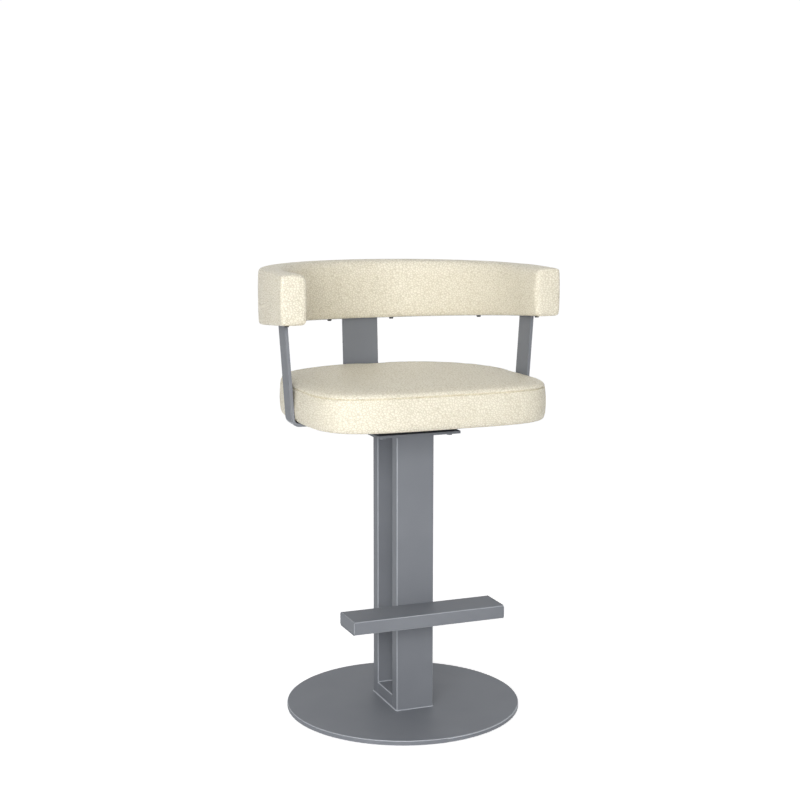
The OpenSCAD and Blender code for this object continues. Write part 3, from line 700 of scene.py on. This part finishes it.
@dataclass
class WeldRun:
    """Rippled weld beads along the joints of the painted steel."""

    wardrobe: Wardrobe
    radius: float = 0.0017
    step: float = 0.0016
    corner: float = 0.0025
    tall: float = 0.9
    wide: float = 1.35
    root: float = 0.8

    def bead(self, path: Sequence[Vector], outward: Sequence[Vector], closed: bool) -> Shape:
        """Sweeps a small ripple-backed bead along a joint.

        Args:
            path: The joint's corner line.
            outward: For each point, the direction halfway between the two faces.
            closed: Whether the line comes back to its start.

        Returns:
            The bead's points and faces.
        """
        rings = []
        for i, (place, out) in enumerate(zip(path, outward)):
            ahead = path[(i + 1) % len(path)] if closed or i + 1 < len(path) else place
            behind = path[i - 1] if closed or i else place
            along = (ahead - behind).normalized()
            side = along.cross(out).normalized()
            ripple = 1.0 + 0.1 * math.sin(i * 1.9) + 0.08 * noise(place * 900)
            r = self.radius * ripple
            ring = [
                place + out * (r * math.cos(a) * self.tall) + side * (r * self.wide * math.sin(a))
                for a in turns(-90, -60, -30, 0, 30, 60, 90)
            ]
            rings.append(ring + [place - out * (r * self.root)])
        return Form.tube(rings, closed)

    def around(self, x: float, y0: float, y1: float, z: float, up: float) -> Shape:
        """Runs a bead round a rectangle that stands on a plate, or hangs from it.

        Args:
            x: Half the rectangle's width.
            y0: The rectangle's front.
            y1: The rectangle's rear.
            z: The plate's face.
            up: 1 on top of a plate, -1 under it.

        Returns:
            The bead's points and faces.
        """
        line, outs = [], []
        corners = [Vector(place) for place in ((x, y0, z), (x, y1, z), (-x, y1, z), (-x, y0, z))]
        faces = [Vector(face) for face in ((1, 0, 0), (0, 1, 0), (-1, 0, 0), (0, -1, 0))]
        for a, b, face in zip(corners, corners[1:] + corners[:1], faces):
            run, free = (b - a).normalized(), (b - a).length - 2 * self.corner
            count = max(2, int(free / self.step))
            line += [a + run * (self.corner + free * i / count) for i in range(count + 1)]
            outs += [Vector((face.x, face.y, up)).normalized()] * (count + 1)
            turn = (face + run).normalized()
            line.append(b - run * self.corner - face * self.corner + turn * self.corner)
            outs.append((turn + Vector((0, 0, up))).normalized())
        return self.bead(line, outs, True)

    def straight(self, start: Point, end: Point, out: Point) -> Shape:
        """Runs a bead along a straight corner, where out points halfway between the two faces."""
        a, b = Vector(start), Vector(end)
        count = max(4, int((b - a).length / self.step))
        line = [a.lerp(b, i / count) for i in range(count + 1)]
        return self.bead(line, [Vector(out).normalized()] * len(line), False)

    def lay(self, name: str, beads: Sequence[Shape], body: str) -> None:
        """Makes one piece of several beads and lets it ride on a body."""
        piece = Form.piece(name, *Form.join(beads))
        self.wardrobe.dress_piece(piece, Slot.PAINT)
        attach(piece, body)
        log.info("%s: %d beads", name, len(beads))


@dataclass
class Pedestal:
    """Base plate, column, footrest and top plate, with the welds between them."""

    wardrobe: Wardrobe
    welds: WeldRun
    tubes: tuple[str, ...] = ("front_post", "rear_post", "bottom_rail", "footrest_bar")
    painted: tuple[str, ...] = ("top_plate", "footrest_end_plates", "plate_bolts")
    plated: tuple[str, ...] = (
        "base_screws", "anchor_block", "footrest_bolts", "footrest_nuts", "plate_nuts"
    )
    tube_corner: float = 0.0025
    inset: float = 0.003
    edge: float = 0.0007

    def build(self) -> None:
        """Dresses the steel and lays the welds."""
        self.wardrobe.dress_nodes(self.tubes + self.painted, Slot.PAINT)
        self.wardrobe.dress_nodes(("base_plate",), Slot.DISC)
        self.wardrobe.dress_nodes(self.plated, Slot.BRIGHT)
        self.wardrobe.dress_nodes(("base_pad",), Slot.RUBBER)
        self._column_welds()
        self._footrest_edges()

    def _footrest_edges(self) -> None:
        """Lays the ground weld round each end of the footrest."""
        low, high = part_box("footrest_bar")
        edge, inset = WeldRun(self.wardrobe, self.edge), self.tube_corner
        beads = []
        for x, side in ((low.x, -1), (high.x, 1)):
            for y, out in ((low.y, -1), (high.y, 1)):
                beads.append(edge.straight((x, y, low.z + inset), (x, y, high.z - inset), (side, out, 0)))
            for z, out in ((low.z, -1), (high.z, 1)):
                beads.append(edge.straight((x, low.y + inset, z), (x, high.y - inset, z), (side, 0, out)))
        self.welds.lay("footrest_end_edges", beads, "pedestal")

    def _column_welds(self) -> None:
        """Welds the column to its plates and the rail to the posts."""
        low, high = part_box("front_post")
        rear_low, rear_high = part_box("rear_post")
        half, top = high.x, high.z
        flat = half - self.inset
        foot = self.welds.around(half, low.y, rear_high.y, low.z, 1)
        self.welds.lay("column_foot_weld", [foot], "pedestal")
        heads = [
            self.welds.straight((-flat, y, top), (flat, y, top), (0, side, -1))
            for y, side in ((low.y, -1), (rear_high.y, 1))
        ]
        for side in (-1, 1):
            for y0, y1 in ((low.y, high.y), (rear_low.y, rear_high.y)):
                start, end = (side * half, y0 + self.inset, top), (side * half, y1 - self.inset, top)
                heads.append(self.welds.straight(start, end, (side, 0, -1)))
        self.welds.lay("column_head_weld", heads, "pedestal")
        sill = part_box("bottom_rail")[1].z
        sills = [
            self.welds.straight((-flat, y, sill), (flat, y, sill), (0, side, 1))
            for y, side in ((high.y, 1), (rear_low.y, -1))
        ]
        self.welds.lay("window_welds", sills, "pedestal")


@dataclass
class Swivel:
    """The ball swivel between the top plate and the seat."""

    wardrobe: Wardrobe

    def build(self) -> None:
        """Dresses the swivel's nodes."""
        self.wardrobe.dress_nodes(("swivel_lower_plate", "swivel_upper_plate"), Slot.BLACK)
        self.wardrobe.dress_nodes(("swivel_pin", "pin_washer", "pin_nut", "swivel_balls"), Slot.BRIGHT)
        self.wardrobe.dress_nodes(("ball_cage", "swivel_bush"), Slot.NYLON)


@dataclass
class SeatFrame:
    """Frame plate with its two struts and the back plate."""

    wardrobe: Wardrobe
    welds: WeldRun
    struts: tuple[str, ...] = ("left_strut", "right_strut", "back_plate")
    painted: tuple[str, ...] = ("seat_frame_plate", "backrest_hoop")
    back_weld: float = 0.038
    strut_weld: tuple[float, float] = (-0.048, -0.009)
    lean: float = 0.3

    def build(self) -> None:
        """Dresses the steel and lays the welds under the seat."""
        self.wardrobe.dress_nodes(self.struts + self.painted, Slot.PAINT)
        self.wardrobe.dress_nodes(("seat_bolts",), Slot.BLACK)
        self.wardrobe.dress_nodes(("seat_tee_nuts",), Slot.BRIGHT)
        low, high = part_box("seat_frame_plate")
        half, (front, rear) = self.back_weld, self.strut_weld
        beads = [self.welds.straight((-half, high.y, low.z), (half, high.y, low.z), (0, self.lean, -1))]
        for side in (-1, 1):
            start, end = (side * high.x, front, low.z), (side * high.x, rear, low.z)
            beads.append(self.welds.straight(start, end, (side * self.lean, 0, -1)))
        self.welds.lay("frame_welds", beads, "seat")


@dataclass
class Seat:
    """Seat board, dust cover and the upholstered cushion."""

    wardrobe: Wardrobe
    plan: SeatPlan = field(default_factory=SeatPlan)
    boxing: float = 0.0622
    crown: float = 0.014
    shoulder: float = 0.008
    tuck: float = 0.0022
    edge: float = 0.006
    board_inset: float = 0.018
    slack: float = 0.0002
    sag: float = 0.0028
    cell: float = 0.0045
    swell: float = 0.0032
    held: float = 0.0025
    fit: float = 0.0006
    under: float = 0.004
    seam_reach: float = 0.0045
    seam_pull: float = 0.003
    welt: float = 0.0002
    pucker: float = 0.00035
    hem: float = 0.0085
    wire: float = 0.0005

    def build(self) -> None:
        """Dresses the board and makes the cushion."""
        self.wardrobe.dress_nodes(("seat_board",), Slot.PLYWOOD)
        self.wardrobe.dress_nodes(("dust_cover",), Slot.DUST)
        self._cushion()
        self._staples()

    def _rows(self) -> list[tuple[float, float]]:
        """Returns the cushion's rows as insets and heights, bottom to top."""
        rows = [
            (self.tuck + self.edge * (1 - math.sin(a)), self.edge * (1 - math.cos(a)))
            for a in turns(0, 18, 36, 54, 72, 90)
        ]
        rows += [(self.tuck * (2 * s - 1) ** 2, self.boxing * s) for s in (k / 10 for k in range(2, 10))]
        rows.append((self.tuck, self.boxing))
        rows += [
            (self.tuck + self.shoulder * (1 - math.cos(a)), self.boxing + self.shoulder * math.sin(a))
            for a in turns(15, 30, 45, 60, 75, 88)
        ]
        start, base = self.tuck + self.shoulder, self.boxing + self.shoulder
        run, rise = self.plan.front - self.tuck - self.shoulder, self.crown - self.sag - self.shoulder
        shares = (0.04, 0.1, 0.2, 0.32, 0.45, 0.6, 0.75, 0.9)
        return rows + [(start + s * run, base + rise * math.sin(math.pi / 2 * s)) for s in shares]

    def _cushion(self) -> None:
        """Makes the cushion: form, stuffing, board's hollow and seam."""
        low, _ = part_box("seat_cushion")
        rings = [self.plan.ring(inset + self.slack, low.z + height) for inset, height in self._rows()]
        cushion = Form.piece("upholstered_seat", *Form.tube(rings))
        soft = SoftPiece(cushion, self.cell, self.swell)
        soft.remesh()
        soft.puff(lambda co: co.z < low.z + self.held)
        soft.refine()
        board_low, board_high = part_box("seat_board")
        levels = (board_low.z - self.under, board_high.z + self.fit)
        hollow = [self.plan.ring(self.board_inset - self.fit, z, 120) for z in levels]
        soft.cut(Form.piece("board_hollow", *Form.tube(hollow)))
        self._seam(cushion, low.z + self.boxing)
        soft.sharpen()
        self.wardrobe.dress_piece(cushion, Slot.SEAT)
        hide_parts("seat_cushion")
        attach(cushion, "seat")
        log.info("seat cushion: %d faces", len(cushion.data.polygons))

    def _seam(self, cushion: bpy.types.Object, z: float) -> None:
        """Draws the cushion's cover in along the seam, at the height of the boxing's top."""
        centre = Vector((0, self.plan.widest_y, 0))
        build = bmesh.new()
        build.from_mesh(cushion.data)
        for step in (-0.0034, -0.0017, -0.0007, 0.0, 0.0007, 0.0017, 0.0034):
            parts = build.verts[:] + build.edges[:] + build.faces[:]
            bmesh.ops.bisect_plane(build, geom=parts, plane_co=(0, 0, z + step), plane_no=(0, 0, 1))
        for vertex in build.verts:
            gap = abs(vertex.co.z - z)
            if gap > self.seam_reach:
                continue
            inward = Vector((centre.x - vertex.co.x, centre.y - vertex.co.y, 0)).normalized()
            pull = self.seam_pull * bell(gap, 0.0008) - self.welt * bell(gap, 0.0012, 0.003)
            pucker = self.pucker * noise(vertex.co * 90) * bell(gap, 0.003)
            vertex.co += inward * (pull + pucker)
        build.to_mesh(cushion.data)
        build.free()

    def _staples(self) -> None:
        """Sets wire staples round the dust cover's hem."""
        low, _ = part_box("dust_cover")
        up, wire = Vector((0, 0, 1)), self.wire
        bends = ((-0.005, 0.0009, wire), (-0.0048, -wire, 0.0), (0.0048, -wire, 0.0), (0.005, 0.0009, wire))
        parts = []
        ring = self.plan.ring(self.board_inset + self.hem, low.z, 44)
        for i, place in enumerate(ring):
            along = (ring[(i + 1) % len(ring)] - ring[i - 1]).normalized()
            across = along.cross(up)
            rings = []
            for reach, rise, slant in bends:
                middle = place + along * reach + up * rise
                rings.append([
                    middle + across * (wire * 1.1 * math.cos(a)) + up * (wire * 0.7 * math.sin(a))
                    + along * (slant * math.sin(a))
                    for a in turns(0, 60, 120, 180, 240, 300)
                ])
            parts.append(Form.tube(rings))
        staples = Form.piece("hem_staples", *Form.join(parts))
        self.wardrobe.dress_piece(staples, Slot.BRIGHT)
        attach(staples, "seat")
        log.info("hem staples: %d", len(parts))


@dataclass
class Backrest:
    """The wrap-round padded backrest on its steel hoop and wooden core."""

    wardrobe: Wardrobe
    radius: float = 0.2776
    thick: float = 0.0494
    centre_y: float = -0.0085
    arm: float = 0.1035
    low: float = 0.7438
    tall: float = 0.1226
    bottom_slope: float = math.tan(math.radians(4.36))
    top_slope: float = math.tan(math.radians(0.4))
    outer_r: float = 0.006
    top_inner_r: float = 0.012
    low_inner_r: float = 0.008
    end_inner_r: float = 0.01
    end_outer_r: float = 0.0035
    crown: float = 0.0012
    slack: float = 0.0005
    cell: float = 0.004
    swell: float = 0.0022
    held: float = 0.003
    half_hoop: float = 0.01905
    hoop_t: float = 0.0048
    hoop_recess: float = 0.0004
    half_core: float = 0.0095
    core_cover: float = 0.016
    core_trim: float = 0.0137
    fit: float = 0.0006
    under: float = 0.006
    least_step: float = 0.0001

    def build(self) -> None:
        """Dresses the core and screws and makes the pad."""
        self.wardrobe.dress_nodes(("backrest_core",), Slot.PLYWOOD)
        self.wardrobe.dress_nodes(("backrest_screws",), Slot.BLACK)
        self._pad()

    @property
    def middle(self) -> float:
        """Radius of the pad's middle line."""
        return self.radius - self.thick / 2

    def _bottom(self, y: float) -> float:
        """Height of the pad's underside at a place front to back."""
        return self.low + self.bottom_slope * (self.centre_y + self.radius - y)

    def _top(self, y: float) -> float:
        """Height of the pad's top at a place front to back."""
        return self.low + self.tall - self.top_slope * (self.centre_y + self.radius - y)

    def _plan(self, share: float, offset: float, trim: float = 0.0) -> tuple[float, float]:
        """Returns a point in plan.

        Args:
            share: Place along the U, from -1 at the left arm's end to 1 at the right arm's.
            offset: Distance outwards from the middle line.
            trim: Distance that the arm's end is shortened by.

        Returns:
            The point's x and y.
        """
        arc = self.middle * math.pi / 2
        run = abs(share) * (arc + self.arm)
        side = math.copysign(1.0, share)
        reach = self.middle + offset
        if run <= arc:
            turn = run / self.middle
            return side * reach * math.sin(turn), self.centre_y + reach * math.cos(turn)
        return side * reach, self.centre_y - min(run - arc, self.arm - trim)

    def _section(self, out_inset: float, in_inset: float, steps: int = 6) -> list[Point]:
        """Returns the pad's rounded section: offset outwards, share of the height, rise over that share."""
        outer, inner = self.thick / 2 - out_inset, self.thick / 2 - in_inset
        ro, rt, rl = self.outer_r, self.top_inner_r, self.low_inner_r
        arc = [math.pi / 2 * k / steps for k in range(steps + 1)]
        sides = [k / 12 for k in range(1, 12)]
        section = [(outer - ro + ro * math.cos(a), 1.0, -(out_inset + ro - ro * math.sin(a))) for a in arc]
        section += [(x * self.thick * 0.18, 1.0, self.crown / 2 - out_inset) for x in (1, 0, -1)]
        section += [
            (-(inner - rt + rt * math.sin(a)), 1.0, -(out_inset + rt - rt * math.cos(a))) for a in arc
        ]
        section += [(-(inner + self.crown * 4 * s * (1 - s)), s, 0.0) for s in reversed(sides)]
        lift = out_inset - self.slack
        section += [(-(inner - rl + rl * math.cos(a)), 0.0, lift + rl - rl * math.sin(a)) for a in arc]
        section += [(outer - ro + ro * math.sin(a), 0.0, lift + ro - ro * math.cos(a)) for a in arc]
        return section + [(outer + self.crown * 4 * s * (1 - s), s, 0.0) for s in sides]

    def _place(self, xy: tuple[float, float], share: float, rise: float) -> Vector:
        """Returns a point of the pad over a place in plan."""
        low, high = self._bottom(xy[1]), self._top(xy[1])
        return Vector((*xy, low + (high - low) * share + rise))

    def _pad(self) -> None:
        """Makes the pad: form, stuffing and the hollow for hoop and core."""
        total = self.middle * math.pi / 2 + self.arm
        body = 1.0 - self.end_inner_r / total
        section = self._section(self.slack, self.slack)
        rings = [self._end_ring(-1.0, turn) for turn in turns(90, 72, 54, 36, 18)]
        for share in (body * (k / 90 - 1) for k in range(181)):
            rings.append([self._place(self._plan(share, o), s, r) for o, s, r in section])
        rings += [self._end_ring(1.0, turn) for turn in turns(18, 36, 54, 72, 90)]
        pad = Form.piece("upholstered_backrest", *Form.tube(rings))
        soft = SoftPiece(pad, self.cell, self.swell)
        soft.remesh()
        soft.puff(lambda co: co.z < self._bottom(co.y) + self.held)
        soft.refine()
        soft.cut(self._hollow())
        soft.sharpen()
        self.wardrobe.dress_piece(pad, Slot.BACK)
        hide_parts("backrest_pad")
        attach(pad, "seat")
        log.info("backrest pad: %d faces", len(pad.data.polygons))

    def _end_ring(self, side: float, turn: float) -> list[Vector]:
        """Returns a ring round the rounded end of an arm."""
        fade = 1 - math.cos(turn)
        insets = (self.slack + radius * fade for radius in (self.end_outer_r, self.end_inner_r))
        ring = []
        for o, s, r in self._section(*insets):
            edge = self.end_inner_r if o < 0 else self.end_outer_r
            y = self.centre_y - self.arm + self.slack + edge * (1 - math.sin(turn))
            ring.append(self._place((side * (self.middle + o), y), s, r))
        return ring

    def _hollow(self) -> bpy.types.Object:
        """Makes the cutter for the hoop and the core."""
        hoop, core = self.half_hoop + self.fit, self.half_core + self.fit
        right = ((hoop, 0), (hoop, 1), (core, 1), (core, 2))
        outline = right + tuple((-offset, level) for offset, level in reversed(right))
        rings = []
        for k in range(121):
            ring = []
            for offset, level in outline:
                x, y = self._plan(k / 60 - 1, offset, self.core_trim)
                foot, top = self._bottom(y), self._top(y)
                hoop_top = foot + self.hoop_recess + self.hoop_t + self.fit
                heights = (foot - self.under, hoop_top, top - self.core_cover + self.fit)
                ring.append(Vector((x, y, heights[level])))
            if rings and (ring[0] - rings[-1][0]).length < self.least_step:
                continue
            rings.append(ring)
        return Form.piece("hoop_hollow", *Form.tube(rings))


@dataclass
class Studio:
    """Camera, lamps, floor and a white surround."""

    azimuth: float = 21.918
    distance: float = 2.87974
    height: float = 1.04796
    pitch: float = 8.655
    yaw: float = -0.119
    roll: float = 0.051
    lens: float = 68.03
    ambient: float = 0.35
    overhead: float = 0.16
    white: float = 1.02
    floor_half: float = 6.0
    floor_grey: float = 0.82
    floor_lift: float = 0.66

    def build(self) -> None:
        """Sets the whole studio up."""
        bpy.context.scene.view_settings.view_transform = "Standard"
        self._camera()
        self._surround()
        self._floor()
        self._lamps()

    def _camera(self) -> None:
        """Puts the camera where the photograph was taken from."""
        camera = add_object("camera", bpy.data.cameras.new("camera"))
        camera.data.lens = self.lens
        camera.data.sensor_width = 36.0
        turn, look = math.radians(self.azimuth), math.radians(self.azimuth + self.yaw)
        place = Vector((-self.distance * math.sin(turn), -self.distance * math.cos(turn), self.height))
        down = math.radians(self.pitch)
        ahead = Vector((math.sin(look) * math.cos(down), math.cos(look) * math.cos(down), -math.sin(down)))
        tilt = ahead.to_track_quat("-Z", "Y").to_matrix() @ Matrix.Rotation(math.radians(self.roll), 3, "Z")
        camera.matrix_world = Matrix.Translation(place) @ tilt.to_4x4()
        bpy.context.scene.camera = camera

    @staticmethod
    def _seen_straight(tree: ShaderTree) -> Value:
        """Returns 1 for camera, glossy and see-through rays, else 0."""
        rays = tree.add("ShaderNodeLightPath").outputs
        kinds = ("Is Camera Ray", "Is Glossy Ray", "Is Transmission Ray")
        camera, glossy, through = (1 - Value(tree, rays[kind]) for kind in kinds)
        return 1 - camera * glossy * through

    def _surround(self) -> None:
        """Makes the world white to the eye and softer as a light."""
        world = bpy.data.worlds.new("surround")
        bpy.context.scene.world = world
        tree = ShaderTree(world)
        soft = tree.axes("Generated")[2].above(0.0, 1.0) * self.overhead + self.ambient
        strength = self._seen_straight(tree) * (self.white - soft) + soft
        sky = tree.add("ShaderNodeBackground", None, {"Color": (1.0, 1.0, 1.0), "Strength": strength})
        tree.add("ShaderNodeOutputWorld", None, {"Surface": sky.outputs[0]})

    def _floor(self) -> None:
        """Lays a white floor that keeps the stool's shadow."""
        half = self.floor_half
        corners = [(-half, -half, 0), (half, -half, 0), (half, half, 0), (-half, half, 0)]
        mesh = bpy.data.meshes.new("floor")
        mesh.from_pydata(corners, [], [(0, 1, 2, 3)])
        tree = ShaderTree("white_floor")
        matt = tree.add("ShaderNodeBsdfDiffuse", None, {"Color": (self.floor_grey,) * 3})
        strength = self._seen_straight(tree) * self.floor_lift
        lift = tree.add("ShaderNodeEmission", None, {"Color": (1.0, 1.0, 1.0), "Strength": strength})
        both = tree.add("ShaderNodeAddShader", None, {0: matt.outputs[0], 1: lift.outputs[0]})
        tree.add("ShaderNodeOutputMaterial", None, {"Surface": both.outputs[0]})
        mesh.materials.append(tree.owner)
        floor = add_object("floor", mesh)

    def _lamp(
        self,
        name: str,
        place: Point,
        aim: Point,
        size: tuple[float, float],
        power: float,
        sheen_only: bool = False,
    ) -> None:
        """Hangs a soft lamp, sized in metres and powered in watts, that may show only as a gleam."""
        data = bpy.data.lights.new(name, "AREA")
        data.shape = "RECTANGLE"
        data.size, data.size_y = size
        data.energy = power
        lamp = add_object(name, data)
        lamp.location = place
        lamp.rotation_mode = "QUATERNION"
        lamp.rotation_quaternion = (Vector(aim) - Vector(place)).to_track_quat("-Z", "Y")
        lamp.visible_diffuse = not sheen_only

    def _lamps(self) -> None:
        """Hangs the key lamp by the camera, one for glints on the grain and two for gleams on edges."""
        self._lamp("key", (-1.6, -2.7, 1.35), (0, 0, 0.55), (2.0, 1.3), 64.0)
        self._lamp("glints", (-1.3, -2.9, 1.3), (0, 0, 0.7), (0.6, 0.6), 36.0, True)
        self._lamp("left_gleam", (-2.5, -1.0, 0.7), (0, 0, 0.45), (0.5, 1.8), 10.0, True)
        self._lamp("top_gleam", (-0.15, -0.35, 3.2), (0, 0, 0.4), (1.2, 0.6), 40.0, True)


def main() -> None:
    """Builds the studio and the stool, piece by piece."""
    logging.basicConfig(level=logging.INFO, format="%(name)s: %(message)s")
    Studio().build()
    wardrobe = Wardrobe()
    welds = WeldRun(wardrobe)
    for part in (
        Pedestal(wardrobe, welds),
        Swivel(wardrobe),
        SeatFrame(wardrobe, welds),
        Seat(wardrobe),
        Backrest(wardrobe),
    ):
        part.build()
        log.info("%s done", type(part).__name__)


if __name__ == "__main__":
    main()
